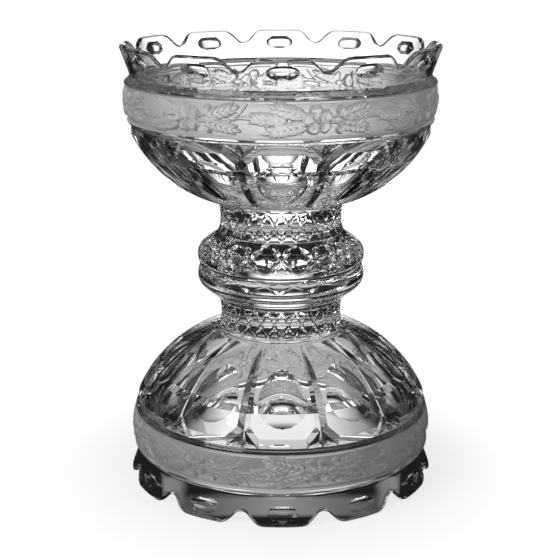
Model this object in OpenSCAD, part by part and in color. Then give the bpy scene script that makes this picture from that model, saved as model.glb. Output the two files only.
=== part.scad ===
// Cut glass trifle bowl on an inverted stand of the same pattern, in millimetres.
// The origin is the middle of the scalloped edge that the stand rests on, and +Z is up.
// Each vessel is described with its foot face at z = 0 and its rim upwards.

/* [Rim] */
// Outer diameter across the scalloped rim
rim_d = 223; // [214:1:230]
// Height of the clear rim above the waist line
rim_h = 20; // [18:0.5:26]
// Thickness of the glass at the rim
rim_wall = 5; // [4:0.5:6]
// Number of scallops, windows and olive cuts round each vessel
scallops = 12; // [11:1:13]
// Width of the gap between the flat tips of two scallops
notch_w = 32; // [29:0.5:35]
// Depth of that gap
notch_h = 8.7; // [8:0.1:10]
// Radius at the bottom of that gap
notch_r = 5; // [3.5:0.5:6]
// Radius at the shoulders of a scallop
lobe_r = 8; // [5:0.5:9]
// Length of the olive cut in the middle of each scallop
olive_w = 20; // [14:0.5:24]
// Height of that olive cut
olive_h = 9; // [7:0.5:10]
// Depth of that olive cut
olive_deep = 1.4; // [0.8:0.1:1.8]

/* [Frosted band] */
// Distance by which the widest line of the band lies inside the edge of the rim
band_in = 1.75; // [1:0.25:3.5]
// Height of the band
band_h = 30; // [26:0.5:34]
// Height of the widest line above the lower edge of the band
band_belly_h = 17; // [14:0.5:19]
// Radius of the bulge seen from the side
band_r = 39; // [34:1:48]
// Distance by which the waist line over the band lies inside the edge of the rim
waist_in = 7; // [6:0.25:8.5]
// Height of the sloping ledge from the band up to the waist line
ledge_h = 4; // [3:0.5:6]
// Height of the clear strip between the windows and the frosted part
strip_h = 3; // [2:0.5:4]

/* [Body] */
// Height of the lower edge of the band above the foot face
body_h = 102; // [98:1:106]
// Distance by which the body lies inside the widest line of the band, where they meet
body_in = 5.5; // [5:0.25:6.25]
// Radius of the curve of the body
body_r = 100; // [92:1:115]
// Thickness of the glass in the body
wall = 8; // [7:0.5:10]

/* [Foot and neck] */
// Widest diameter of the foot
foot_d = 119; // [114:1:124]
// Height of the widest line of the foot
foot_mid_h = 8.5; // [7:0.5:10]
// Radius of the bulge at the edge of the foot
foot_r = 17.5; // [15:0.5:20]
// Slope of the top of the foot against the level
foot_slope = 34; // [30:1:38]
// Height of the foot where it meets the neck
foot_h = 23.5; // [22:0.5:26]
// Diameter at both ends of the neck
neck_d = 88; // [84:0.5:92]
// Smallest diameter, halfway up the neck
neck_mid_d = 85.5; // [80:0.5:87]
// Height of the upper end of the neck
neck_h = 46; // [43:0.5:49]

/* [Locating boss] */
// Diameter of the boss under the foot of the bowl
boss_d = 60; // [40:1:80]
// Height of the boss
boss_h = 6; // [4:0.5:8]
// Gap all round the boss in its socket
boss_gap = 0.5; // [0.3:0.1:1]

/* [Window cuts] */
// Width of the mitre cut between two windows at its upper end
mitre_w = 9.6; // [7:0.2:12]
// Depth of the mitre cut at its upper end
mitre_deep = 2.5; // [2:0.1:3.2]
// Depth of the mitre cut at its lower end
mitre_end_deep = 0.8; // [0.6:0.1:1.2]
// Height at which the mitre cuts start above the foot face
mitre_foot_h = 50; // [49:0.5:54]
// Length of the star at the head of each mitre cut, down the glass from the band
star_long = 11.6; // [10:0.2:13]
// Width of that star under the band
star_wide = 25; // [22:0.5:27]
// Width of the egg cut in each window
egg_w = 33; // [28:0.5:36]
// Length of the egg cut
egg_h = 46; // [44:0.5:50]
// Height of the middle of the egg cut above the foot face
egg_mid_h = 72; // [70:0.5:74]
// Depth of the egg cut
egg_deep = 4; // [3:0.1:4.5]

/* [Neck and foot cuts] */
// Number of upright mitres round the neck
neck_cuts = 28; // [24:1:32]
// Width of a neck mitre
neck_cut_w = 3.2; // [2.4:0.1:3.6]
// Depth of a neck mitre
neck_cut_deep = 1; // [0.6:0.1:1.4]
// Length left uncut at both ends of the neck
neck_cut_gap = 1; // [0.6:0.1:2]
// Number of crossed star cuts round the foot of the bowl
foot_stars = 16; // [14:1:18]
// Width of a star cut
star_w = 6; // [4:0.5:7]
// Depth of a star cut
star_deep = 2.4; // [1.6:0.1:3]
// Height of the middle of a star above the foot face
star_h = 13.5; // [12.5:0.5:15]
// Angle between a star cut and the upright
star_lean = 36; // [30:1:42]

/* [Hidden] */

$fn = 120;
// Extra length by which every cut runs past the glass
over = 2;
// Depth by which the flank of a scallop runs into its round parts
flank_dip = 0.12;
// Angle over the level at which the star cuts look out of the foot
star_rise = 48;
// Step between two scallops
step = 360 / scallops;

rim_r = rim_d / 2;
waist_r = rim_r - waist_in;
band_max_r = rim_r - band_in;
body_top_r = band_max_r - body_in;
band_top_h = body_h + band_h;
waist_h = band_top_h + ledge_h;
vessel_h = waist_h + rim_h;

// Centre of a circle of radius r through two points, on the left of the way from a to b
function arc_centre(a, b, r) =
    let (m = (a + b) / 2, d = b - a, l = norm(d))
    m + [-d[1], d[0]] / l * sqrt(r * r - l * l / 4);
// Radius of a circle whose chord c has the rise s
function chord_radius(c, s) = (c * c / 4 + s * s) / (2 * s);
// Radius of a round wheel that leaves a cut of length c and depth s on a surface of radius r
function wheel_radius(c, s, r) = 1 / (8 * s / (c * c) - 1 / r);

body_c = arc_centre([neck_d / 2, neck_h], [body_top_r, body_h], body_r);
band_c = [band_max_r - band_r, body_h + band_belly_h];
foot_c = [foot_d / 2 - foot_r, foot_mid_h];

// Angle on the body curve at height z, and the radius of the body there
function body_angle(z) = asin((z - body_c[1]) / body_r);
function body_radius(z) = body_c[0] + body_r * cos(body_angle(z));

// Height of the place v down the body from the band
function body_down(v) = body_c[1] + body_r * sin(body_angle(body_h) - v / body_r * 180 / PI);

// Radius of the band at height z
function band_radius(z) = band_c[0] + sqrt(band_r * band_r - (z - band_c[1]) * (z - band_c[1]));

// The point where the way from a to b ends when it runs on past b
function past(a, b) = b + over * (b - a) / norm(b - a);

// Radius on the slope of the foot at height z
function foot_slope_radius(z) = neck_d / 2 + (foot_h - z) / tan(foot_slope);

// Outer half section from the axis outwards
module outer_half() {
    neck_arc_r = chord_radius(neck_h - foot_h, (neck_d - neck_mid_d) / 2);
    // Foot
    intersection() {
        polygon([[0, 0], [foot_slope_radius(0), 0], [neck_d / 2, foot_h], [0, foot_h]]);
        union() {
            translate(foot_c) circle(r = foot_r);
            square([foot_c[0], foot_h]);
        }
    }
    // Neck
    difference() {
        translate([0, foot_h]) square([neck_d / 2, neck_h - foot_h]);
        translate([neck_mid_d / 2 + neck_arc_r, (foot_h + neck_h) / 2]) circle(r = neck_arc_r);
    }
    // Body
    intersection() {
        translate([0, neck_h]) square([rim_d, body_h - neck_h]);
        union() {
            translate(body_c) circle(r = body_r);
            translate([0, neck_h]) square([neck_d / 2, body_h - neck_h]);
        }
    }
    // Band
    intersection() {
        translate([0, body_h]) square([rim_d, band_h]);
        union() {
            translate(band_c) circle(r = band_r);
            translate([0, body_h]) square([band_c[0], band_h]);
        }
    }
    // Ledge and rim
    polygon([
        [0, band_top_h],
        [band_radius(band_top_h), band_top_h],
        [waist_r, waist_h],
        [rim_r, vessel_h],
        [0, vessel_h]
    ]);
}

// Section of the valley along the heads of the windows, with the clear strip over it
module head_valley() {
    foot_z = body_down(mitre_w / 2);
    strip_z = body_h + strip_h;
    valley = [body_radius(body_h) - mitre_deep, body_h];
    low = past(valley, [body_radius(foot_z), foot_z]);
    high = past(valley, [band_radius(strip_z), strip_z]);
    polygon([low, valley, high, [rim_r, high[1]], [rim_r, low[1]]]);
}

// Half section of the hollow
module hollow_half() {
    inner_r = body_r - wall;
    inner_top_r = body_c[0] + inner_r * cos(asin((body_h - body_c[1]) / inner_r));
    flare = (rim_r - waist_r) / rim_h;
    intersection() {
        square([rim_d, body_h]);
        union() {
            translate(body_c) circle(r = inner_r);
            translate([0, body_c[1] - inner_r]) square([body_c[0], body_h]);
        }
    }
    polygon([
        [0, body_h],
        [inner_top_r, body_h],
        [waist_r - rim_wall, waist_h],
        [rim_r - rim_wall + over * flare, vessel_h + over],
        [0, vessel_h + over]
    ]);
}

// Outline of the gap between two scallops, with its middle on the axis and its tip line at y = 0
module notch_outline() {
    bottom_c = [0, notch_r - notch_h];
    lobe_c = [notch_w / 2, -lobe_r];
    run = lobe_c - bottom_c;
    // The straight flank dips a little into both round parts
    low_r = notch_r - flank_dip;
    high_r = lobe_r - flank_dip;
    slope = atan2(run[1], run[0]) + asin((low_r + high_r) / norm(run));
    low = bottom_c + low_r * [sin(slope), -cos(slope)];
    high = lobe_c + high_r * [-sin(slope), cos(slope)];
    right = [low, high, lobe_c, [notch_w / 2, over]];
    left = [for (i = [3 : -1 : 0]) [-right[i][0], right[i][1]]];
    difference() {
        union() {
            translate(bottom_c) circle(r = notch_r);
            polygon(concat([bottom_c], right, left));
        }
        for (s = [-1, 1]) translate([s * lobe_c[0], lobe_c[1]]) circle(r = lobe_r);
    }
}

// The gaps between the scallops, cut straight through the rim
module rim_notches() {
    for (i = [0 : scallops - 1])
        rotate([0, 0, (i + 0.5) * step])
            translate([waist_r - rim_wall - over, 0, vessel_h])
                rotate([90, 0, 90])
                    linear_extrude(rim_r - waist_r + rim_wall + 2 * over) notch_outline();
}

// The part of a round wheel that leaves a cut of length c, on a glass surface at x = 0. The wheel
// has the radius r and the edge radius e, stands in the XZ plane and reaches down to x = -deep.
module wheel(c, deep, r, e) {
    half_a = asin((c / 2 + over) / r);
    translate([r - deep, 0, 0]) rotate([90, 0, 0])
        rotate_extrude(start = 180 - half_a, angle = 2 * half_a, $fn = 300) intersection() {
            translate([r - e, 0]) circle(r = e, $fn = 120);
            translate([0, -e]) square([r, 2 * e]);
        }
}

// Olive cuts in the rim, one to a scallop
module rim_olives() {
    lean = atan((rim_r - waist_r) / rim_h);
    mid_r = (rim_r + waist_r) / 2;
    for (i = [0 : scallops - 1])
        rotate([0, 0, i * step])
            translate([mid_r, 0, waist_h + rim_h / 2])
                rotate([0, lean, 0]) rotate([90, 0, 0])
                    wheel(
                        olive_w,
                        olive_deep,
                        wheel_radius(olive_w, olive_deep, mid_r),
                        chord_radius(olive_h, olive_deep)
                    );
}

// Moves its children to the body surface at height z: +X points out of the glass, +Z up the body
module on_body(z) {
    translate([body_c[0], 0, body_c[1]]) rotate([0, -body_angle(z), 0]) translate([body_r, 0, 0])
        children();
}

// Section of a mitre cut: w wide and deep on a surface at x = 0
module mitre_section(w, deep) {
    half = w / 2 * (deep + over) / deep;
    polygon([[-deep, 0], [over, -half], [over, half]]);
}

// Mitre cuts down the body between the windows, narrower and shallower towards the neck
module long_mitres() {
    a_low = body_angle(mitre_foot_h);
    a_top = body_angle(body_down(star_long));
    lift = (mitre_deep - mitre_end_deep) / sin(a_top - a_low);
    for (i = [0 : scallops - 1])
        rotate([0, 0, (i + 0.5) * step])
            translate([body_c[0] + lift * cos(a_top - 90), 0, body_c[1] + lift * sin(a_top - 90)])
                rotate([90, 0, 0])
                    rotate_extrude(start = a_low, angle = a_top - a_low)
                        translate([body_r, 0]) mitre_section(mitre_w, mitre_deep);
}

// Stars at the heads of the mitre cuts: a mitre down each side and one in the middle
module window_stars() {
    mid_z = body_down(star_long / 2);
    lean = atan(star_wide / 2 / star_long);
    side = star_long / cos(lean);
    // The sides run on past their meeting point until their walls meet those of the long mitre
    extra = mitre_w / 2 * tan(lean / 2);
    turn = asin(star_wide / 4 / body_radius(mid_z));
    for (i = [0 : scallops - 1])
        rotate([0, 0, (i + 0.5) * step]) {
            for (s = [-1, 1])
                rotate([0, 0, -s * turn]) on_body(mid_z) rotate([s * lean, 0, 0])
                    translate([0, 0, -side / 2 - extra])
                        linear_extrude(side + extra) mitre_section(mitre_w, mitre_deep);
            on_body(mid_z) linear_extrude(star_long, center = true) mitre_section(mitre_w, mitre_deep);
        }
}

// Egg cuts, one in each window
module eggs() {
    mid_r = body_radius(egg_mid_h);
    for (i = [0 : scallops - 1])
        rotate([0, 0, i * step])
            on_body(egg_mid_h)
                wheel(
                    egg_h,
                    egg_deep,
                    wheel_radius(egg_h, egg_deep, body_r),
                    wheel_radius(egg_w, egg_deep, mid_r)
                );
}

// Upright mitres round the neck
module neck_mitres() {
    for (i = [0 : neck_cuts - 1])
        rotate([0, 0, (i + 0.5) * 360 / neck_cuts])
            translate([neck_mid_d / 2, 0, foot_h + neck_cut_gap])
                linear_extrude(neck_h - foot_h - 2 * neck_cut_gap)
                    mitre_section(neck_cut_w, neck_cut_deep);
}

// Crossed star cuts over the edge between the slope and the bulge of the foot
module foot_star_cuts() {
    long = 2 * (foot_h - star_h) / sin(foot_slope);
    for (i = [0 : foot_stars - 1], s = [-1, 1])
        rotate([0, 0, i * 360 / foot_stars])
            translate([foot_slope_radius(star_h), 0, star_h])
                rotate([0, -star_rise, 0]) rotate([s * star_lean, 0, 0])
                    linear_extrude(long, center = true) mitre_section(star_w, star_deep);
}

// One vessel with its foot face at z = 0 and its rim upwards. Its children are further cuts.
module vessel() {
    difference() {
        rotate_extrude() difference() {
            outer_half();
            hollow_half();
            head_valley();
        }
        rim_notches();
        rim_olives();
        long_mitres();
        window_stars();
        eggs();
        neck_mitres();
        children();
    }
}

// Upper vessel with the boss that locates it on the stand
module bowl() {
    color("lightgray") translate([0, 0, vessel_h]) {
        vessel() foot_star_cuts();
        translate([0, 0, -boss_h]) cylinder(d = boss_d, h = boss_h + over);
    }
}

// Lower vessel turned over, with the socket for the boss
module stand() {
    color("silver") translate([0, 0, vessel_h]) mirror([0, 0, 1])
        vessel() translate([0, 0, -over])
            cylinder(d = boss_d + 2 * boss_gap, h = boss_h + boss_gap + over);
}

bowl();
stand();
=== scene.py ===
"""Cut glass trifle bowl on an inverted stand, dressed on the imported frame.

Each vessel is one closed skin of glass. A half section runs from the middle of the foot face up the outside,
over the rim and down the inside, and every cut is a depth that is taken off the skin along its normal. The
cuts are a finer form of those in the CAD, and the flowers on the band are only here.
"""

import math

import bpy
import numpy as np
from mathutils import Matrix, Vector


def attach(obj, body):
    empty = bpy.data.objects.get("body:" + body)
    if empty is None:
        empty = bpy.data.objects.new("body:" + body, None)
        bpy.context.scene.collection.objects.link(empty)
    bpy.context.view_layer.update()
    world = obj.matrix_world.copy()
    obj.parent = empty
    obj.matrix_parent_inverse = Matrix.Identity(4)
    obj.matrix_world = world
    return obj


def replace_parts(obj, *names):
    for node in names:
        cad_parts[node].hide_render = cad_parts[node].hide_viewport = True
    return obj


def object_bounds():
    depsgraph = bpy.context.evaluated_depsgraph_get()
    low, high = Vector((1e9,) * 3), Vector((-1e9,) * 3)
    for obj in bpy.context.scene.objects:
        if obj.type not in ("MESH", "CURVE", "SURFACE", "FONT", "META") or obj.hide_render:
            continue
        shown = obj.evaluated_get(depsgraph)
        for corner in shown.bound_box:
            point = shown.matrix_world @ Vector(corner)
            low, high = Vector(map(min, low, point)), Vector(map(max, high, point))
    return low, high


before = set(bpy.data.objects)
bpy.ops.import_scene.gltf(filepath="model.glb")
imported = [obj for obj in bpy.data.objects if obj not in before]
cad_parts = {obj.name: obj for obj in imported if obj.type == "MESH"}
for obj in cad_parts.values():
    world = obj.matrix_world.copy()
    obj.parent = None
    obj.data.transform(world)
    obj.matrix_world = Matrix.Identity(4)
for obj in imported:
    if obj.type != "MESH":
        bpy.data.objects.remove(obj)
CAD_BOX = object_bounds()

bl_info = {
    "name": "Cut glass trifle bowl",
    "version": (1, 0, 0),
    "blender": (4, 5, 0),
    "location": "3D View > Sidebar > Trifle bowl",
    "description": "Builds the bowl, its inverted stand and the studio",
    "category": "Object",
}

MM = 0.001
TOP = CAD_BOX[1][2] / MM
SEAM = TOP / 2


# Sizes in millimetres. Heights count from the face of the foot. A line is a list of (radius, height) points
# that a smooth curve goes through

WINDOWS = 12
PITCH = 360 / WINDOWS
SHARP_FROM = 16
PLAIN_COLS, LEDGE_COLS = 192, 384
NEAR_AXIS = 0.01

FACE_R = 56.4
BOSS_R, BOSS_H, BOSS_BEVEL, BOSS_FILLET = 30, 5.9, 0.4, 0.2
SOCKET_R, SOCKET_H, SOCKET_BEVEL = 30.5, 6.5, 0.3
STARRED_FOOT = [[57.4, 0.5], [58.5, 2.2], [59.3, 5.2], [59.5, 8.6], [58.7, 12.0], [56.2, 15.2]]
STARRED_FOOT += [[50.4, 19.6], [44.9, 23.8]]
PLAIN_FOOT = [[57.6, 0.6], [58.9, 2.8], [59.5, 6.5], [59.2, 10.0], [57.2, 13.4], [53.4, 16.9]]
PLAIN_FOOT += [[48.6, 20.4], [45.0, 24.2]]
CROSSES, CROSS_AT = 16, 15.2
CROSS_ENDS = ((6.2, 10.2), (6.6, -8.4))
CROSS_WIDE, CROSS_DEEP = 2.5, 1.1
LENS_AT, LENS_HALF, LENS_DEEP = -5.0, (5.4, 6.2), 0.5

NECK_LOW, NECK_HIGH = 24.6, 45.6
NECK_MID = (NECK_LOW + NECK_HIGH) / 2
NECK_CELLS = 28
NECK_LINE = [[44.4, NECK_LOW], [43.5, 29.5], [43.1, NECK_MID], [43.5, 40.5], [44.5, NECK_HIGH]]
RING_LOW = [[44.6, 23.9], [44.9, 24.1], [44.9, 24.4], [44.6, NECK_LOW]]
RING_HIGH = [[44.5, NECK_HIGH], [45.4, 45.8], [45.7, 46.3], [45.4, 46.9], [44.9, 47.2]]

ARC_AT, ARC_R = (12.07, 140.77), 100.0
BODY_LOW, BODY_TOP = 47.3, 101.6
TIP, CORNER = 11.6, 11.4
MITRE_END, RUN_OUT = 76, 3
EGG_TOP, EGG_LOW, EGG_HALF, EGG_TAPER = 12.6, 55.5, 15.8, 0.28

BAND_FOOT = [[106.2, 103.4], [106.9, 104.9]]
BAND_LINE = [[108.7, 109], [109.7, 114], [109.9, 119], [109.5, 125], [108.3, 130.2]]
LEDGE_LINE = [[107.9, 131.6], [106.9, 132.7], [105.6, 133.7], [104.7, 134.6], [104.4, 135.5], [104.6, 136.4]]
BAND_R = 109.4
FLOWERS, FLOWER_AT, FLOWER_R, FRIEZE_FADE = 8, -90 + 12.2, 10.2, 1.2
CLEAR_IN, CLEAR_OUT = 8.5, 10.4
BERRIES, BERRY_R = ((15.2, 6.2), (15.2, -6.4)), 3.3
LEAVES = (
    ((-5, -3), (-31, -8.5), 6, 7.6),
    ((-6, 2), (-27, 8.5), 5, 7.2),
    ((-19, 0), (-42, 1.5), 5, 6.6),
    ((14, 2), (32, 7.5), 4, 6.6),
    ((13, -2), (33, -6.5), 5, 6.4),
)
STEMS = (
    (((6, -1), (16, -2), (27, -1), (38, 1.5), (46, 0), (54, -4), (60, -6)), 0.8),
    (((5, 1), (13, 2.5), (22, 3.5), (32, 7)), 0.6),
    (((24, -1.5), (33, 1), (38, 6), (41, 10)), 0.5),
)

RIM_LOW, RIM_BOTTOM, RIM_R, RIM_MID, RIM_FLARE, RIM_WALL = 136.4, 136, 104.6, 108.5, 6.8, 4.4
EDGE_ROUND = 1.9
OLIVE_AT, OLIVE_HALF, OLIVE_WAY = 146.6, (10.4, 4.6), (0.945, -0.32)

HOLLOW_R, FLOOR_Z = 92, 48.8
WAIST_LINE = [[99.9, 134.6], [99.4, 132], [98.6, 126], [98.3, 118], [97.8, 110], [96.2, 102]]
WAIST_LINE += [[92.9, 93], [88.0, 84.5]]
FLOOR_LINE = [[8, FLOOR_Z + 0.05], [0.5, FLOOR_Z]]

# The studio, in metres. A pair says where a light or a patch is out and where it is full

WHITE = (1, 1, 1, 1)
WINDOW_TOP, WINDOW_SIDE = (0.145, 0.09), (0.27, 0.1)
NOT_ZERO = 0.0001
SOFT_LOW, SOFT_HIGH, SOFT_FRONT = (0.25, 0.4), (0.9, 0.75), (0.1, -0.3)
FLOOR_WINDOWS = (0.6, 0.93)
SHADOW, SHADOW_SHARE = (0.171, 0.1), 0.25
FLOOR_HALF = 9
# Patches of painted light that glass sees on the floor, standing for light falling there: the brightness and
# the limits of each
PAINTED_LIGHT_PATCHES = (
    (1.0, {"y": (0, 0.02), "far": (0.098, 0.085), "side": (0.09, 0.03)}),
    (0.32, {"y": (-0.055, -0.065), "end": (-0.094, -0.088), "side": (0.085, 0)}),
    (0.7, {"y": (0.105, 0.13), "far": (0.42, 0.3), "side": (0.2, 0.06)}),
    (0.3, {"y": (-0.45, -0.6)}),
)
LAMP_AT, LAMP_AIM, LAMP_WIDE, LAMP_WATTS = (-0.9, -0.8, 0.95), (0, 0, 0.15), 0.9, 10
EYE_AT, EYE_AIM = (-0.0006, -0.8854, 0.3883), (-0.0006, 0, 0.1421)
SENSOR_MM, FOCAL_PX, WIDTH_PX = 36, 1269.4, 560

# Sizes and looks that the panel shows


class BowlSizes(bpy.types.PropertyGroup):
    """Sizes of the cut pattern that both vessels share, in millimetres"""

    turn: bpy.props.FloatProperty(
        name="Turn", description="Turn of the cut pattern about the axis, in degrees", default=0.6
    )
    seam_gap: bpy.props.FloatProperty(
        name="Seam gap", description="Air film between the two feet", default=0.12, min=0.02
    )
    valley: bpy.props.FloatProperty(
        name="Valley depth", description="Depth of the mitre network round the windows", default=3.0, min=0.1
    )
    bevel: bpy.props.FloatProperty(
        name="Bevel width", description="Width of one face of a mitre", default=4.3, min=0.5
    )
    head: bpy.props.FloatProperty(
        name="Head width",
        description="Width of the lower face of the mitre at a window's head",
        default=5.6,
        min=0.5,
    )
    swell: bpy.props.FloatProperty(
        name="Swell",
        description="How far the body stands out from the arc of the CAD towards the band",
        default=3.0,
    )
    egg_deep: bpy.props.FloatProperty(
        name="Egg depth", description="Depth of the egg cut in each window", default=3.4, min=0.1
    )
    olive_deep: bpy.props.FloatProperty(
        name="Olive depth", description="Depth of the olive cut in each scallop", default=2.4, min=0.1
    )
    relief: bpy.props.FloatProperty(
        name="Relief", description="Height of the carved flowers on the band", default=1.9, min=0.1
    )
    neck_deep: bpy.props.FloatProperty(
        name="Neck facets", description="Depth of the cuts round the neck", default=0.4, min=0.1
    )


class GlassLook(bpy.types.PropertyGroup):
    """Colours and finishes of the glass"""

    tint: bpy.props.FloatVectorProperty(
        name="Glass colour",
        description="Colour of the glass",
        subtype="COLOR",
        size=4,
        default=(0.99, 0.993, 0.995, 1),
    )
    frost: bpy.props.FloatProperty(
        name="Frost", description="Roughness of the frosted band", default=0.42, min=0, max=1
    )
    window: bpy.props.FloatProperty(
        name="Windows", description="White windows seen through the glass", default=1.8
    )
    soft: bpy.props.FloatProperty(
        name="Soft light", description="Soft light in front of the object", default=0.8
    )
    # Brightness of the patches of painted light that glass sees on the floor
    painted_table_light: bpy.props.FloatProperty(
        name="Table", description="Table seen through the glass, behind", default=0.85
    )
    dark: bpy.props.FloatProperty(
        name="Room", description="Rest of the room seen through the glass", default=0.012
    )


# Shapes


def catmull(points, n=24):
    """A smooth line through points: a Catmull-Rom spline, the sum of four neighbours weighed by cubics."""
    p = np.asarray(points, float)
    p = np.vstack([2 * p[0] - p[1], p, 2 * p[-1] - p[-2]])
    t = (np.arange(n) / n)[None, :, None]
    a, b, c, d = (p[i : len(p) - 3 + i, None] for i in range(4))
    out = 0.5 * (2 * b + (c - a) * t + (2 * a - 5 * b + 4 * c - d) * t**2 + (3 * b - a - 3 * c + d) * t**3)
    return np.vstack([out.reshape(-1, 2), p[-2]])


class Profile:
    """A half section (radius, height) by arc length. Its normal is the way turned by a quarter, so it
    points out of the glass when the section runs from the foot face up the outside."""

    def __init__(self, line):
        self.line = np.asarray(line, float)
        step = np.hypot(*np.diff(self.line, axis=0).T)
        self.s = np.concatenate([[0], np.cumsum(step)])
        way = np.gradient(self.line, self.s, axis=0)
        self.normal = np.stack([way[:, 1], -way[:, 0]], 1)
        self.length = self.s[-1]

    def at(self, s):
        """Radius, height and normal at arc length s, evenly between the points of the line."""
        r, z = (np.interp(s, self.s, self.line[:, i]) for i in (0, 1))
        nr, nz = (np.interp(s, self.s, self.normal[:, i]) for i in (0, 1))
        size = np.hypot(nr, nz)
        return r, z, nr / size, nz / size

    def find(self, z):
        """The arc length at height z, on a section whose height only grows or only falls."""
        h = self.line[:, 1]
        return np.interp(z, h, self.s) if h[-1] > h[0] else np.interp(-z, -h, self.s)


def turned(r, z, a):
    """Points at radius r and height z, a degrees from the +X axis."""
    t = np.radians(a)
    return np.stack([r * np.cos(t), r * np.sin(t), z + 0 * t], -1)


def spread(stops, counts):
    """Rising numbers through stops, with so many equal steps between each two."""
    parts = [np.linspace(a, b, n, endpoint=False) for a, b, n in zip(stops, stops[1:], counts)]
    return np.concatenate([*parts, [stops[-1]]])


class Skin:
    """Gathers strips of points into one closed skin of triangles. Each quad is split along the diagonal
    whose middle lies nearer the true surface, so creases stay sharp."""

    def __init__(self):
        self.points, self.faces, self.slots, self.count, self.edge = [], [], [], 0, None

    def _add(self, points):
        start = self.count
        self.points.append(points.reshape(-1, 3))
        self.count += len(self.points[-1])
        return start

    def _face(self, rows, slot):
        self.faces.append(rows.reshape(-1, 3))
        self.slots.append(np.full(len(self.faces[-1]), slot))

    def pole(self, z, close=False):
        """A point on the axis. The next strip starts there, or with close the last strip ends there."""
        start = self._add(np.array([[0.0, 0.0, z]]))
        if close:
            first, a = self.edge
            n = len(a)
            i = np.arange(n)
            self._face(np.stack([first + i, first + (i + 1) % n, np.full(n, start)], 1), 0)
        else:
            self.edge = (start, None)

    def strip(self, surface, a, s, slot=0):
        """surface(a, s) gives points. a is the azimuth of each row and column, s the place of each row."""
        s = np.broadcast_to(np.asarray(s, float)[:, None], a.shape)
        p = surface(a, s)
        rows, n = a.shape
        start = self._add(p)
        if self.edge is not None:
            self._join(start, a[0], slot if np.ndim(slot) == 0 else slot[0])
        ahead = np.concatenate([a[:, 1:], a[:, :1] + 360], 1)
        mid = surface((a[:-1] + ahead[:-1] + a[1:] + ahead[1:]) / 4, (s[:-1] + s[1:]) / 2)
        q = np.concatenate([p, p[:, :1]], 1)
        one = np.abs((q[:-1, :-1] + q[1:, 1:]) / 2 - mid).sum(-1)
        two = np.abs((q[:-1, 1:] + q[1:, :-1]) / 2 - mid).sum(-1)
        i, j = np.meshgrid(np.arange(rows - 1), np.arange(n), indexing="ij")
        k = (j + 1) % n
        a0, b0, c0, d0 = (start + x * n + y for x, y in ((i, j), (i, k), (i + 1, k), (i + 1, j)))
        first = (one <= two)[..., None]
        t1 = np.where(first, np.stack([a0, b0, c0], -1), np.stack([a0, b0, d0], -1))
        t2 = np.where(first, np.stack([a0, c0, d0], -1), np.stack([b0, c0, d0], -1))
        both = np.stack([t1, t2], 2)
        self.faces.append(both.reshape(-1, 3))
        marks = np.broadcast_to(np.reshape(slot, (-1, 1)) if np.ndim(slot) else slot, (rows - 1, n))
        self.slots.append(np.repeat(marks.reshape(-1), 2))
        self.edge = (start + (rows - 1) * n, a[-1])

    def _join(self, start, b, slot):
        """Joins the last ring to a new one, which may have another number of points: walks round both by
        azimuth."""
        first, a = self.edge
        m = len(b)
        j = np.arange(m)
        if a is None:
            self._face(np.stack([np.full(m, first), start + (j + 1) % m, start + j], 1), slot)
            return
        n = len(a)
        i = np.arange(n)
        ends_a = np.append(a[1:], a[0] + 360) - a[0]
        ends_b = np.append(b[1:], b[0] + 360) - b[0]
        at_b = np.searchsorted(ends_b, ends_a - 1e-9, side="left")
        at_a = np.searchsorted(ends_a, ends_b + 1e-9, side="right")
        self._face(np.stack([first + i, first + (i + 1) % n, start + at_b % m], 1), slot)
        self._face(np.stack([first + at_a % n, start + (j + 1) % m, start + j], 1), slot)

    def build(self, name, turn_over, lift, materials, sharp):
        """One mesh object in metres. A vessel that is turned over is mirrored in height, so its faces
        turn too."""
        p = np.concatenate(self.points)
        p[:, 2] = (-p[:, 2] if turn_over else p[:, 2]) + lift
        f = np.concatenate(self.faces)
        if turn_over:
            f = f[:, ::-1]
        mesh = bpy.data.meshes.new(name)
        mesh.vertices.add(len(p))
        mesh.vertices.foreach_set("co", (p * MM).ravel())
        mesh.loops.add(f.size)
        mesh.loops.foreach_set("vertex_index", f.ravel().astype(np.int32))
        mesh.polygons.add(len(f))
        mesh.polygons.foreach_set("loop_start", np.arange(0, f.size, 3, dtype=np.int32))
        mesh.polygons.foreach_set("material_index", np.concatenate(self.slots).astype(np.int32))
        mesh.update(calc_edges=True)
        mesh.validate()
        for m in materials:
            mesh.materials.append(m)
        mesh.polygons.foreach_set("use_smooth", np.ones(len(f), bool))
        mesh.set_sharp_from_angle(angle=math.radians(sharp))
        ob = bpy.data.objects.new(name, mesh)
        bpy.context.scene.collection.objects.link(ob)
        return ob


# Cut pattern


def wrapped(a, step):
    """Azimuth a as the distance in degrees from the nearest multiple of step, with its sign."""
    return (a + step / 2) % step - step / 2


def scallop_drop(x, half, w=32.0, h=8.7, low=6.5, high=11.0):
    """How far the rim lies below the tips, at x along the rim from the middle of a scallop. half is half
    a scallop. A circle of radius low at the bottom, a straight flank, and a circle of radius high at the
    shoulder."""
    x = half - np.abs(x)
    run = w / 2
    lean = math.asin((low + high) / math.hypot(run, h - low - high)) + math.atan2(h - low - high, run)
    x1, x2 = low * math.sin(lean), run - high * math.sin(lean)
    y1 = h - low + low * math.cos(lean)
    bottom = h - low + np.sqrt(np.maximum(low**2 - x**2, 0))
    flank = y1 - (x - x1) * math.tan(lean)
    shoulder = high - np.sqrt(np.maximum(high**2 - (x - run) ** 2, 0))
    return np.where(x < x1, bottom, np.where(x < x2, flank, np.where(x < run, shoulder, 0)))


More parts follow.
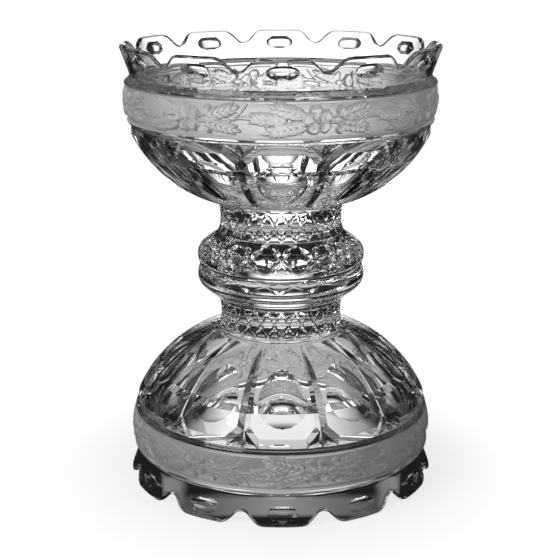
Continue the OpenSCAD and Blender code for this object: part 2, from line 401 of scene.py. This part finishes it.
def network(x, v, valley, bevel, head, narrow):
    """Depth of the mitres round a window, at x from its edge and v down from the band. Each mitre is a V
    whose depth falls evenly with the distance from the nearest line of the network. The lines are the
    head of the window at v = 0, the sloping sides of the star from (CORNER, 0) to (0, TIP), its middle
    line, and the mitre between two windows, which narrows by the share narrow towards the neck. The lower
    face of the head is as wide as head."""
    x = np.abs(x)
    slant = (x * TIP + v * CORNER - CORNER * TIP) / math.hypot(CORNER, TIP)
    star = np.minimum(np.minimum(-slant, x), v)
    pane = np.minimum(slant, v * bevel / head)
    side = np.where(v > TIP, x * bevel / np.maximum(bevel * narrow, 0.1), np.inf)
    away = np.where(slant < 0, star, np.minimum(pane, side))
    reach = np.where((slant >= 0) & (v > TIP) & (away < pane), narrow, 1.0)
    return valley * np.clip(1 - away / bevel, 0, 1) * reach


def egg(x, v, deep):
    """Depth of an egg cut: a dish, deepest in the middle. Its half width is that of an ellipse, fuller at
    the band end."""
    middle, half = (EGG_TOP + EGG_LOW) / 2, (EGG_LOW - EGG_TOP) / 2
    t = (v - middle) / half
    full = EGG_HALF * (1 - EGG_TAPER * t)
    return deep * np.clip(1 - t**2 - (x / full) ** 2, 0, None)


def leaf(u, v, start, end, pairs, size, lean=25):
    """Height of a toothed leaf: pairs of pointed blades that touch along a spine, longest near its foot.
    Each blade is a half ellipsoid whose far side is lower, so the next one seems to lie over it."""
    (x0, y0), (x1, y1) = start, end
    way = math.atan2(y1 - y0, x1 - x0)
    long = math.hypot(x1 - x0, y1 - y0)
    gap = long / (pairs + 0.35)
    out = np.zeros_like(u)
    for k in range(pairs + 1):
        t = (k + 0.2) / (pairs + 0.35)
        reach = size * (1 - 0.5 * t) * (0.75 + 0.25 * min(1, 2.2 * t))
        for side in (-1, 1) if k < pairs else (0,):
            angle = way + side * math.radians(lean)
            c, s = math.cos(angle), math.sin(angle)
            cx = x0 + long * t * math.cos(way) * 0.94 + c * reach
            cy = y0 + long * t * math.sin(way) * 0.94 + s * reach
            p = ((u - cx) * c + (v - cy) * s) / (reach * 1.15)
            q = (-(u - cx) * s + (v - cy) * c) / (0.34 * gap + 0.3)
            point = np.clip(1 - np.clip(p, 0, None) ** 1.5, 0, None)
            body = 1 - p**2 - (q / np.maximum(point, 0.05)) ** 2
            out = np.maximum(out, np.sqrt(np.clip(body, 0, None)) * (0.92 - 0.22 * side * q - 0.25 * t))
    return out


def stem(u, v, points, thick, high=0.55):
    """Height of a rounded cord along a smooth line through points."""
    line = catmull(points, 8)
    out = np.zeros_like(u)
    for (x0, y0), (x1, y1) in zip(line, line[1:]):
        dx, dy = x1 - x0, y1 - y0
        t = np.clip(((u - x0) * dx + (v - y0) * dy) / (dx * dx + dy * dy), 0, 1)
        d = np.hypot(u - x0 - t * dx, v - y0 - t * dy)
        out = np.maximum(out, high * np.sqrt(np.clip(1 - (d / thick) ** 2, 0, None)))
    return out


def flower(u, v, size):
    """Height of a flower with five petals: domes in a ring, each with fine lines to the middle and a
    cleft edge."""
    out = np.zeros_like(u)
    for k in range(5):
        a = math.radians(90 + 72 * k + 10)
        cx, cy = 0.54 * size * math.cos(a), 0.54 * size * math.sin(a)
        p = (u - cx) * math.cos(a) + (v - cy) * math.sin(a)
        q = -(u - cx) * math.sin(a) + (v - cy) * math.cos(a)
        edge = 0.50 * size * (1 - 0.16 * np.exp(-((q / (0.12 * size)) ** 2)))
        body = 1 - (p / edge) ** 2 - (q / (0.44 * size)) ** 2
        dome = np.clip(body, 0, None) ** 0.5
        out = np.maximum(out, dome * (0.9 + 0.02 * p))
    far, turn = np.hypot(u, v), np.arctan2(v, u)
    cleft = far * np.sin(np.radians(wrapped(np.degrees(turn) - 100 - 36, 72)))
    out = out * (1 - 0.5 * np.exp(-((cleft / 0.5) ** 2)))
    lines = 0.5 + 0.5 * np.cos(25 * turn)
    out = out * (1 - 0.30 * lines * np.clip(1 - np.abs(far / size - 0.42) / 0.34, 0, 1))
    heart = np.sqrt(np.clip(1 - (far / (0.17 * size)) ** 2, 0, None))
    return np.maximum(out * np.clip(far / (0.2 * size), 0.25, 1), heart)


def frieze(u, v, repeat):
    """Height of the carved frieze, from 0 to 1, at u along the band and v up from its middle line. The same
    spray comes again after each repeat: a flower, two berries, and feathered leaves on a waving stem."""
    u = (u + repeat / 2) % repeat - repeat / 2
    out = np.zeros_like(u)
    for shift in (-repeat, 0, repeat):
        x = u + shift
        parts = [leaf(x, v, *place) for place in LEAVES] + [stem(x, v, *place) for place in STEMS]
        for part in parts:
            out = np.maximum(out, 0.85 * part)
        for berry_x, berry_y in BERRIES:
            d = np.hypot(x - berry_x, v - berry_y) / BERRY_R
            out = np.maximum(out, np.sqrt(np.clip(1 - d * d, 0, None)))
        d = np.hypot(x, v)
        out = np.where(d < CLEAR_OUT, np.maximum(flower(x, v, FLOWER_R), out * (d > CLEAR_IN)), out)
    return out


def neck_facets(u, z, tall, deep, cell=9.7, wide=1.1):
    """Depth of the cuts round the neck, at u cells along and z up from the middle. Flat sunk facets lie
    between narrow ridges, which cross in the middle of each cell and end in its corners, so tall diamonds
    stand between them with a plain arch above and below each crossing."""
    off = u - np.floor(u) - 0.5
    slant = math.atan(cell / tall)
    one, two = (np.abs(off + side * z / tall) * cell * math.cos(slant) for side in (-1, 1))
    ends = tall / 2 - np.abs(z)
    return deep * np.clip(np.minimum(np.minimum(one, two), ends) / wide, 0, 1)


def leaf_cut(x, y, to, wide, deep):
    """Depth of a V cut shaped as a leaf, from the origin to the point to: both its width and depth follow a
    half wave along it."""
    long = math.hypot(*to)
    c, s = to[0] / long, to[1] / long
    t = (x * c + y * s) / long
    d = np.abs(-x * s + y * c)
    swell = np.sqrt(np.clip(np.sin(np.pi * np.clip(t, 0, 1)), 0, None))
    return deep * swell * np.clip(1 - d / np.maximum(wide * swell, 1e-3), 0, None)


# Vessels


def evenly(start, count):
    """Azimuths of evenly spaced columns."""
    return start + np.arange(count) * 360 / count


def ring_rows(a, rows):
    """The same azimuths for each of the rows."""
    return np.broadcast_to(a, (rows, len(a)))


def mirrored_round(start, local):
    """Azimuths round the vessel from those of half a window, which rise from 0 to PITCH / 2."""
    side = np.concatenate([local[..., :-1], PITCH - local[..., ::-1][..., :-1]], -1)
    return np.concatenate([start + PITCH * k + side for k in range(WINDOWS)], -1)


def plain_strip(skin, line, start, cols, rows, first=0.0):
    """A strip turned from a half section with nothing cut into it."""
    skin.strip(
        lambda a, s: turned(*line.at(s)[:2], a),
        ring_rows(evenly(start, cols), rows),
        np.linspace(first, line.length, rows),
    )


def foot_face(skin, start, gap, starred):
    """The flat face of the foot, with the boss of the bowl or the socket of the stand."""
    if starred:
        face = [[NEAR_AXIS, -BOSS_H], [BOSS_R - BOSS_BEVEL, -BOSS_H], [BOSS_R, BOSS_BEVEL - BOSS_H]]
        face += [[BOSS_R, gap - BOSS_FILLET], [BOSS_R + BOSS_FILLET, gap], [FACE_R, gap]]
    else:
        face = [[NEAR_AXIS, SOCKET_H], [SOCKET_R, SOCKET_H], [SOCKET_R, gap + SOCKET_BEVEL]]
        face += [[SOCKET_R + SOCKET_BEVEL, gap], [FACE_R, gap]]
    skin.pole(face[0][1])
    for k, ends in enumerate(zip(face, face[1:])):
        plain_strip(skin, Profile(ends), start, PLAIN_COLS, 3, 2 * NEAR_AXIS if k == 0 else 0)


def foot(skin, start, gap, starred):
    """The rounded foot. That of the bowl has crossed cuts, with a long shallow leaf between each two
    crosses."""
    line = Profile(catmull([[FACE_R, gap], *(STARRED_FOOT if starred else PLAIN_FOOT)]))
    middle = line.find(CROSS_AT)
    step = 360 / CROSSES

    def surface(a, s):
        """The turned section at arc length s, less the deepest of the cuts along its normal."""
        r, z, nr, nz = line.at(s)
        d = 0 * r
        if starred:
            u = np.radians(wrapped(a - start, step)) * r
            y = s - middle
            for x_end, y_end in CROSS_ENDS:
                for side in (1, -1):
                    d = np.maximum(d, leaf_cut(u, y, (side * x_end, y_end), CROSS_WIDE, CROSS_DEEP))
            w = np.radians(wrapped(a - start + step / 2, step)) * r
            inside = 1 - (w / LENS_HALF[0]) ** 2 - ((y - LENS_AT) / LENS_HALF[1]) ** 2
            d = np.maximum(d, LENS_DEEP * np.clip(inside, 0, None))
        return turned(r - d * nr, z - d * nz, a)

    cols, rows = (24 * CROSSES, 26) if starred else (PLAIN_COLS, 24)
    skin.strip(surface, ring_rows(evenly(start, cols), rows), np.linspace(0, line.length, rows))


def neck(skin, start, deep):
    """The neck with its crossing ridges, between two thin rings."""
    plain_strip(skin, Profile(catmull(RING_LOW, 4)), start, PLAIN_COLS, 4)
    line = Profile(catmull(NECK_LINE))

    def surface(a, s):
        """The turned section at arc length s, less the cuts of the neck along its normal."""
        r, z, nr, nz = line.at(s)
        d = neck_facets((a - start) / 360 * NECK_CELLS, z - NECK_MID, NECK_HIGH - NECK_LOW, deep)
        return turned(r - d * nr, z - d * nz, a)

    s = line.find(spread([NECK_LOW, NECK_MID, NECK_HIGH], [8, 8]))
    skin.strip(surface, ring_rows(evenly(start, NECK_CELLS * 16), len(s)), s)
    plain_strip(skin, Profile(catmull(RING_HIGH, 4)), start, PLAIN_COLS, 6)


def window_columns(v, edge, sizes, narrow):
    """How far the columns of half a window stand from its edge, one row for each v. They keep to the
    middle of the window, the outline of the egg, the foot of the mitres and their valleys. edge is half a
    window."""
    slope = CORNER / TIP
    off = sizes.bevel * math.hypot(CORNER, TIP) / TIP
    side = (TIP - v) * slope
    pane = np.maximum(side + off, sizes.bevel * narrow)
    pane = np.minimum(pane, (TIP - sizes.head) * slope + off)
    near = np.clip((sizes.head - v) / sizes.head, 0, 1)
    pane = pane * (1 - near) + (CORNER + 0.7) * near
    line = np.where(v < TIP, np.minimum(np.maximum(side, 0.12 * pane), CORNER), 0.5 * pane)
    t = (v - (EGG_TOP + EGG_LOW) / 2) / ((EGG_LOW - EGG_TOP) / 2)
    round_egg = edge - EGG_HALF * (1 - EGG_TAPER * t) * np.sqrt(np.clip(1 - t**2, 0.02, None))
    round_egg = np.maximum(round_egg, pane + 0.25)
    keys = np.stack([edge, round_egg, pane, line, 0 * edge], 1)
    shares = spread([0, 1, 2, 3, 4], [8, 3, 4, 5])
    return np.stack([np.interp(shares, np.arange(5), row) for row in keys])


def body(skin, start, sizes):
    """The body with its windows, from the neck up to the band, with v counted down from the band. Its
    section is the arc of the CAD, and it swells out towards the band, where the photograph has a fuller
    shoulder. Returns the point where the section ends."""
    top, low = (math.asin((z - ARC_AT[1]) / ARC_R) for z in (BODY_TOP, BODY_LOW))
    v_end = ARC_R * (top - low)

    def arc(v):
        """Radius of the arc, with the whole swell at the band, less the cube of the share of v in it."""
        return ARC_R + sizes.swell * (1 - np.clip(v / v_end, 0, 1) ** 3)

    def taper(v):
        """Share of its width that a mitre keeps: 1 at the star, less a power of the way to its end."""
        return np.clip(1 - np.clip((v - TIP) / (MITRE_END - TIP), 0, 1) ** 2.5, 0.02, 1)

    def surface(a, v):
        """The point of the arc at v, less the deeper of mitre and egg along the arc's radius."""
        at = top - v / ARC_R
        r = ARC_AT[0] + arc(v) * np.cos(at)
        u = np.radians(wrapped(a - start, PITCH)) * r
        x = np.radians(PITCH / 2) * r - np.abs(u)
        d = network(x, v, sizes.valley, sizes.bevel, sizes.head, taper(v))
        d = np.maximum(d, egg(u, v, sizes.egg_deep))
        d = d * np.clip((v_end - v) / RUN_OUT, 0, 1)
        return turned(r - d * np.cos(at), ARC_AT[1] + (arc(v) - d) * np.sin(at), a)

    v = spread([v_end, 78, EGG_LOW, 40, EGG_TOP + 1, TIP, sizes.head, 0], [2, 6, 8, 12, 2, 6, 6])
    r = ARC_AT[0] + arc(v) * np.cos(top - v / ARC_R)
    half = window_columns(v, np.radians(PITCH / 2) * r, sizes, taper(v))
    skin.strip(surface, mirrored_round(start, PITCH / 2 - np.degrees(half / r[:, None])), v)
    end = arc(0) - sizes.valley
    return ARC_AT[0] + end * math.cos(top), ARC_AT[1] + end * math.sin(top)


def band(skin, start, relief, end):
    """The clear strip over the body, which ends at the point end, the frosted relief and the ledge."""
    r, z = end
    lower = Profile(catmull([[r, z], [r + 0.9, z + 1.1], *BAND_FOOT], 6))
    plain_strip(skin, lower, start, LEDGE_COLS, 5, 0.3)
    line = Profile(catmull([BAND_FOOT[-1], *BAND_LINE]))
    repeat = math.radians(360 / FLOWERS) * BAND_R

    def surface(a, s):
        """The turned section, sunk along its normal where the frieze is low, and not at its two edges."""
        r, z, nr, nz = line.at(s)
        u = np.radians(a - FLOWER_AT) * BAND_R
        fade = np.clip(np.minimum(s, line.length - s) / FRIEZE_FADE, 0, 1)
        d = relief * (1 - frieze(u, s - line.length / 2, repeat)) * fade
        return turned(r - d * nr, z - d * nz, a)

    cols, rows = 960, 29
    skin.strip(surface, ring_rows(evenly(start, cols), rows), np.linspace(0, line.length, rows), 1)
    plain_strip(skin, Profile(catmull([BAND_LINE[-1], *LEDGE_LINE], 6)), start, LEDGE_COLS, 8)


def rim(skin, start, olive_deep):
    """The scalloped rim with its olives: outside, rounded edge and inside. Columns are closer at the
    scallops' flanks. Heights are shares of the way up to the scalloped edge."""
    step = np.radians(PITCH) * RIM_MID / 2
    half = spread([0, 10.2, 12.4, 20.1, 23.9, step], [8, 2, 7, 3, 5])
    local = np.degrees(half / RIM_MID)
    local[-1] = PITCH / 2
    a = mirrored_round(start, local)

    def edge_height(a):
        """Height where the rounding of the scalloped edge starts."""
        x = np.radians(wrapped(a - start, PITCH)) * RIM_MID
        return SEAM - scallop_drop(x, step) - EDGE_ROUND

    def rim_r(z):
        """Radius of the outside, which flares evenly with the height z."""
        return RIM_R + (z - RIM_LOW) / (SEAM - RIM_LOW) * RIM_FLARE

    def outer(a, s):
        """The outside at a share s of the height, less the olive: a dish with an oval edge."""
        z = RIM_LOW + s * (edge_height(a) - RIM_LOW)
        r = rim_r(z)
        x = np.radians(wrapped(a - start, PITCH)) * r
        inside = 1 - np.abs(x / OLIVE_HALF[0]) ** 2.2 - ((z - OLIVE_AT) / OLIVE_HALF[1]) ** 2
        d = olive_deep * np.clip(inside, 0, None) ** 0.8
        return turned(r - d * OLIVE_WAY[0], z - d * OLIVE_WAY[1], a)

    def lip(a, s):
        """The rounded edge: part of an ellipse over the wall, by its angle s from the outside."""
        top = edge_height(a)
        return turned(rim_r(top) - RIM_WALL / 2 * (1 - np.cos(s)), top + EDGE_ROUND * np.sin(s), a)

    def inner(a, s):
        """The inside at a share s of the way down, one wall in from the outside."""
        top = edge_height(a)
        z = top + s * (RIM_BOTTOM - top)
        return turned(rim_r(z) - RIM_WALL, z, a)

    skin.strip(outer, ring_rows(a, 18), np.linspace(0.03, 1, 18))
    skin.strip(lip, ring_rows(a, 5), np.linspace(np.pi / 6, np.pi * 5 / 6, 5))
    skin.strip(inner, ring_rows(a, 5), np.linspace(0, 1, 5))


def hollow(skin, start):
    """The inside: the waist, the wall behind the band, and the round bottom, an arc about the body's
    centre."""
    line = list(WAIST_LINE)
    for deg in np.linspace(39, 84, 10):
        t = math.radians(deg)
        middle = ARC_AT[0] * (1 if deg < 80 else 0.8)
        line.append([middle + HOLLOW_R * math.cos(t), ARC_AT[1] - HOLLOW_R * math.sin(t)])
    plain_strip(skin, Profile(catmull(line + FLOOR_LINE, 12)), start, PLAIN_COLS, 24)
    skin.pole(FLOOR_Z, close=True)


def vessel(name, starred, sizes, materials):
    """One vessel, with its foot face at height 0 and its rim at SEAM, in strips from the middle of the
    foot face up the outside and down the inside. The vessel that isn't starred is turned over."""
    start = -90 + sizes.turn
    gap = sizes.seam_gap / 2
    skin = Skin()
    foot_face(skin, start, gap, starred)
    foot(skin, start, gap, starred)
    neck(skin, start, sizes.neck_deep)
    end = body(skin, start, sizes)
    band(skin, start, sizes.relief, end)
    rim(skin, start, sizes.olive_deep)
    hollow(skin, start)
    return skin.build(name, not starred, SEAM, materials, SHARP_FROM)


# Materials


class Value:
    """A socket of a node tree with sums written as Python: each operator adds one Math node."""

    def __init__(self, tree, socket):
        self.tree, self.socket = tree, socket

    def _math(self, kind, *numbers):
        sockets = {f"in_{i}": number for i, number in enumerate(numbers)}
        return self.tree.add("ShaderNodeMath", {"operation": kind}, **sockets)

    def __add__(self, other):
        return self._math("ADD", self, other)

    def __sub__(self, other):
        return self._math("SUBTRACT", self, other)

    def __rsub__(self, other):
        return self._math("SUBTRACT", other, self)

    def __mul__(self, other):
        return self._math("MULTIPLY", self, other)

    def __truediv__(self, other):
        return self._math("DIVIDE", self, other)

    def __rtruediv__(self, other):
        return self._math("DIVIDE", other, self)

    def __pow__(self, other):
        return self._math("POWER", self, other)

    def __rpow__(self, other):
        return self._math("POWER", other, self)

    __radd__, __rmul__ = __add__, __mul__

    def size(self):
        """The value without its sign."""
        return self._math("ABSOLUTE", self)

    def smaller(self, other):
        """The smaller of two values."""
        return self._math("MINIMUM", self, other)

    def larger(self, other):
        """The larger of two values."""
        return self._math("MAXIMUM", self, other)

    def ramp(self, start, end):
        """0 on the near side of start, 1 past end, and even between them. end may lie below start."""
        return self.tree.add("ShaderNodeMapRange", in_0=self, in_1=start, in_2=end)


class Tree:
    """A node tree, with one method that adds any node."""

    def __init__(self, owner):
        owner.use_nodes = True
        self.tree = owner.node_tree
        self.tree.nodes.clear()

    def add(self, kind, settings=None, out=0, **sockets):
        """A node of this kind. settings are set first; sockets are named with _ for a space, or in_N by
        number."""
        node = self.tree.nodes.new(kind)
        for key, value in (settings or {}).items():
            setattr(node, key, value)
        for key, value in sockets.items():
            number = key[3:] if key.startswith("in_") else ""
            socket = node.inputs[int(number) if number.isdigit() else key.replace("_", " ")]
            if isinstance(value, Value):
                self.tree.links.new(value.socket, socket)
            else:
                socket.default_value = value
        return Value(self, node.outputs[out]) if node.outputs else None

    def parts(self, vector):
        """The three parts of a vector."""
        node = self.add("ShaderNodeSeparateXYZ", Vector=vector).socket.node
        return [Value(self, socket) for socket in node.outputs]


def painted_light_patch(places, bright, limits):
    """A patch of painted light glowing on the floor that glass sees: the product of even steps, one for each
    limit.
    """
    for name, ends in limits.items():
        bright = places[name].ramp(*ends) * bright
    return bright


def across(x, y):
    """1 near the four main directions of the floor plan, falling to 0 about 15 degrees off them: it
    follows the share of the smaller of x and y in the larger."""
    x, y = x.size(), y.size()
    return (x.smaller(y) / (x.larger(y) + NOT_ZERO)).ramp(*WINDOW_SIDE)


def clear_glass(look):
    """Polished clear crystal, with a faint ripple left by the polishing."""
    mat = bpy.data.materials.new("clear_crystal")
    t = Tree(mat)
    place = t.add("ShaderNodeTexCoord", out=3)
    ripple = t.add("ShaderNodeTexNoise", Vector=place, Scale=60.0, Detail=1.0)
    bump = t.add("ShaderNodeBump", Strength=0.03, Distance=0.0004, Height=ripple)
    glass = t.add(
        "ShaderNodeBsdfPrincipled",
        Base_Color=tuple(look.tint),
        Roughness=0.0,
        IOR=1.52,
        Transmission_Weight=1.0,
        Normal=bump,
    )
    t.add("ShaderNodeOutputMaterial", Surface=glass)
    return mat


def frosted_glass(look):
    """The satin face of the band: fine grains scatter the light."""
    mat = bpy.data.materials.new("frosted_crystal")
    t = Tree(mat)
    place = t.add("ShaderNodeTexCoord", out=3)
    grain = t.add("ShaderNodeTexNoise", Vector=place, Scale=2400.0, Detail=2.0)
    cloud = t.add("ShaderNodeTexNoise", Vector=place, Scale=60.0, Detail=2.0)
    bump = t.add("ShaderNodeBump", Strength=0.25, Distance=0.0001, Height=grain)
    rough = (cloud - 0.5) * 0.08 + look.frost
    glass = t.add(
        "ShaderNodeBsdfPrincipled",
        Base_Color=(0.97, 0.97, 0.97, 1),
        Roughness=rough,
        IOR=1.5,
        Transmission_Weight=0.72,
        Normal=bump,
    )
    t.add("ShaderNodeOutputMaterial", Surface=glass)
    return mat


# Operators


class TRIFLE_OT_bowl(bpy.types.Operator):
    """Build the upper vessel, which stands on its starred foot"""

    bl_idname = "trifle.bowl"
    bl_label = "Bowl"

    def execute(self, context):
        scene = context.scene
        look = scene.trifle_look
        glass = [clear_glass(look), frosted_glass(look)]
        ob = vessel("bowl_glass", True, scene.trifle_sizes, glass)
        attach(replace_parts(ob, "bowl"), "bowl")
        return {"FINISHED"}


class TRIFLE_OT_stand(bpy.types.Operator):
    """Build the lower vessel, turned over, with its smooth foot upwards"""

    bl_idname = "trifle.stand"
    bl_label = "Stand"

    def execute(self, context):
        scene = context.scene
        look = scene.trifle_look
        glass = [clear_glass(look), frosted_glass(look)]
        ob = vessel("stand_glass", False, scene.trifle_sizes, glass)
        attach(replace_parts(ob, "stand"), "stand")
        return {"FINISHED"}


def aimed(name, data, place, aim):
    """A lamp or a camera at place that looks at aim."""
    ob = bpy.data.objects.new(name, data)
    ob.location = place
    ob.rotation_euler = (Vector(aim) - ob.location).to_track_quat("-Z", "Y").to_euler()
    bpy.context.scene.collection.objects.link(ob)
    return ob


def sheet(name, corners, material):
    """A flat four-cornered card."""
    mesh = bpy.data.meshes.new(name)
    mesh.from_pydata(corners, [], [(0, 1, 2, 3)])
    mesh.materials.append(material)
    ob = bpy.data.objects.new(name, mesh)
    bpy.context.scene.collection.objects.link(ob)
    return ob


class TRIFLE_OT_studio(bpy.types.Operator):
    """Set up the pale floor, the studio light and the camera of the photograph"""

    bl_idname = "trifle.studio"
    bl_label = "Studio"

    def execute(self, context):
        scene = context.scene
        look = scene.trifle_look
        scene.view_settings.view_transform = "Standard"
        scene.cycles.max_bounces = 24
        scene.cycles.transmission_bounces = 24
        scene.cycles.glossy_bounces = 8

        # World: white to the camera. Glass and gloss see a dark room with a low white window in the middle
        # of each of its four walls, and a wide soft light in front, above the camera
        world = bpy.data.worlds.new("studio")
        scene.world = world
        t = Tree(world)
        ray = t.add("ShaderNodeLightPath")
        way = t.add("ShaderNodeTexCoord", out=0)
        x, y, z = t.parts(way)
        window = across(x, y) * z.ramp(*WINDOW_TOP)
        soft = z.ramp(*SOFT_LOW) * z.ramp(*SOFT_HIGH) * y.ramp(*SOFT_FRONT)
        room = window * look.window + soft * look.soft + look.dark
        white = t.add("ShaderNodeBackground", Color=WHITE, Strength=1.0)
        seen = t.add("ShaderNodeBackground", Color=WHITE, Strength=room)
        mix = t.add("ShaderNodeMixShader", in_0=ray, in_1=seen, in_2=white)
        t.add("ShaderNodeOutputWorld", Surface=mix)

        # Floor: white to the camera with the shadow kept. Glass sees a dark table with patches of painted
        # light glowing on it, which stand for light falling there: one under the hollow of the stand, a
        # faint one under its front, one behind and one far in front. The dark gaps between them near the
        # stand are painted shade.
        # Beyond the table the windows are painted on the floor as glowing patches
        floor = bpy.data.materials.new("pale_floor")
        t = Tree(floor)
        ray = t.add("ShaderNodeLightPath")
        place = t.add("ShaderNodeTexCoord", out=3)
        x, y, z = t.parts(place)
        far = (x * x + y * y) ** 0.5
        places = {"y": y, "end": y, "far": far, "side": x.size()}
        # Far out along the four main directions the windows are painted on the floor as glowing patches,
        # over the dark table
        painted_floor_glow = across(x, y) * far.ramp(*FLOOR_WINDOWS) * look.window + look.dark
        for bright, limits in PAINTED_LIGHT_PATCHES:
            painted_floor_glow = painted_floor_glow + painted_light_patch(places, bright * look.painted_table_light, limits)
        tone = t.add("ShaderNodeCombineXYZ", X=painted_floor_glow, Y=painted_floor_glow, Z=painted_floor_glow)
        white = t.add("ShaderNodeEmission", Color=WHITE, Strength=1.0)
        matt = t.add("ShaderNodeBsdfDiffuse", Color=(0.9, 0.9, 0.9, 1))
        near = far.ramp(*SHADOW) * SHADOW_SHARE
        seen = t.add("ShaderNodeMixShader", in_0=near, in_1=white, in_2=matt)
        # The painted light and shade of the floor glow from it for every ray but the camera's
        dark = t.add("ShaderNodeEmission", Color=tone, Strength=1.0)
        both = t.add("ShaderNodeMixShader", in_0=ray, in_1=dark, in_2=seen)
        t.add("ShaderNodeOutputMaterial", Surface=both)
        w = FLOOR_HALF
        sheet("floor", [(-w, -w, 0), (w, -w, 0), (w, w, 0), (-w, w, 0)], floor)

        lamp = bpy.data.lights.new("soft_top", "AREA")
        lamp.shape, lamp.size, lamp.energy = "DISK", LAMP_WIDE, LAMP_WATTS
        aimed("soft_top", lamp, LAMP_AT, LAMP_AIM)

        eye = bpy.data.cameras.new("camera")
        eye.sensor_width, eye.lens = SENSOR_MM, SENSOR_MM * FOCAL_PX / WIDTH_PX
        eye.clip_start, eye.clip_end = 0.05, 20
        scene.camera = aimed("camera", eye, EYE_AT, EYE_AIM)
        return {"FINISHED"}


class TRIFLE_PT_panel(bpy.types.Panel):
    """Lists the pieces and their sizes"""

    bl_label = "Trifle bowl"
    bl_idname = "TRIFLE_PT_panel"
    bl_space_type = "VIEW_3D"
    bl_region_type = "UI"
    bl_category = "Trifle bowl"

    def draw(self, context):
        for op in STEPS:
            self.layout.operator(op.bl_idname)
        for group in (context.scene.trifle_sizes, context.scene.trifle_look):
            for key in group.__annotations__:
                self.layout.prop(group, key)


STEPS = (TRIFLE_OT_studio, TRIFLE_OT_bowl, TRIFLE_OT_stand)
CLASSES = (BowlSizes, GlassLook, *STEPS, TRIFLE_PT_panel)


def register():
    for c in CLASSES:
        bpy.utils.register_class(c)
    bpy.types.Scene.trifle_sizes = bpy.props.PointerProperty(type=BowlSizes)
    bpy.types.Scene.trifle_look = bpy.props.PointerProperty(type=GlassLook)


def unregister():
    del bpy.types.Scene.trifle_look, bpy.types.Scene.trifle_sizes
    for c in reversed(CLASSES):
        bpy.utils.unregister_class(c)


def main():
    register()
    bpy.ops.trifle.studio()
    bpy.ops.trifle.bowl()
    bpy.ops.trifle.stand()


if __name__ == "__main__":
    main()
